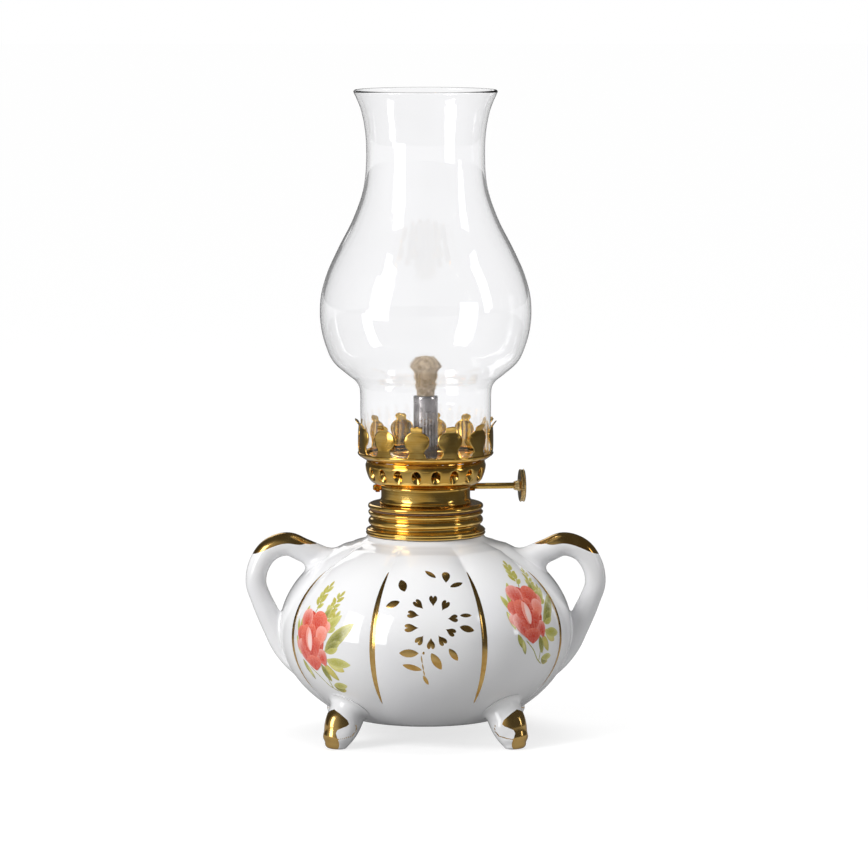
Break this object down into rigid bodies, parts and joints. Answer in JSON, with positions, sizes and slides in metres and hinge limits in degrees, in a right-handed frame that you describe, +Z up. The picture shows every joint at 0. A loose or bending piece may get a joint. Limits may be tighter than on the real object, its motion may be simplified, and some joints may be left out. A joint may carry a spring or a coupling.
{
  "type": "oil lamp",
  "caption": "Miniature porcelain oil lamp with lobed footed font, loop handles, screw-in brass burner, side wick knob, round wick and lift-off bulged glass chimney.",
  "frame": {"origin": "on the floor, at the centre of the lamp's foot circle, under the lamp's axis", "axes": "+Z up along the lamp's axis, -Y the decorated front, +X the side of the thumb knob, handles along X"},
  "size_m": [0.0948, 0.0748, 0.17],
  "materials": {
    "porcelain": "glossy white glaze with gilt lines and rose decals",
    "brass": "bright lacquered brass",
    "knob_brass": "milled brass",
    "steel": "bright steel",
    "cotton": "natural braided cotton, frayed at the head",
    "plaster": "matte plaster cement",
    "fibre": "dark fibre washer",
    "glass": "clear blown glass, fire-polished rim"
  },
  "bodies": {
    "font": {"font_shell": "porcelain", "left_handle": "porcelain", "right_handle": "porcelain", "foot_front_left": "porcelain", "foot_front_right": "porcelain", "foot_back_left": "porcelain", "foot_back_right": "porcelain", "collar": "brass", "collar_cement": "plaster"},
    "burner_seal": {"seal_washer": "fibre"},
    "burner": {"burner_base": "brass", "burner_neck": "brass", "gallery_bowl": "brass", "chimney_crown": "brass", "deck_plate": "brass", "wick_tube": "steel", "shaft_bush": "brass"},
    "wick_shaft": {"wick_shaft": "brass", "wick_wheel_left": "brass", "wick_wheel_right": "brass", "knob": "knob_brass", "shaft_clip": "brass"},
    "wick": {"wick": "cotton"},
    "chimney": {"chimney_glass": "glass"}
  },
  "joints": [
    {"name": "burner_rise", "type": "slide", "parent": "font", "child": "burner_seal", "axis": [0, 0, 1], "range_m": [0, 0.00375]},
    {"name": "burner_turn", "type": "hinge", "parent": "burner_seal", "child": "burner", "pos_m": [0, 0, 0.0605], "axis": [0, 0, 1], "range_deg": [0, 540]},
    {"name": "knob_turn", "type": "hinge", "parent": "burner", "child": "wick_shaft", "pos_m": [-0.00056, 0.00482, 0.0651], "axis": [-0.9934, -0.1149, 0], "range_deg": [-50, 250]},
    {"name": "wick_rise", "type": "slide", "parent": "burner", "child": "wick", "axis": [0, 0, 1], "range_m": [-0.00192, 0.0096]},
    {"name": "chimney_lift", "type": "slide", "parent": "burner", "child": "chimney", "axis": [0, 0, 1], "range_m": [0, 0.035]}
  ],
  "couplings": [
    {"joint": "burner_rise", "follows": "burner_turn", "m_per_rad": 0.00039789},
    {"joint": "wick_rise", "follows": "knob_turn", "m_per_rad": 0.0022}
  ]
}
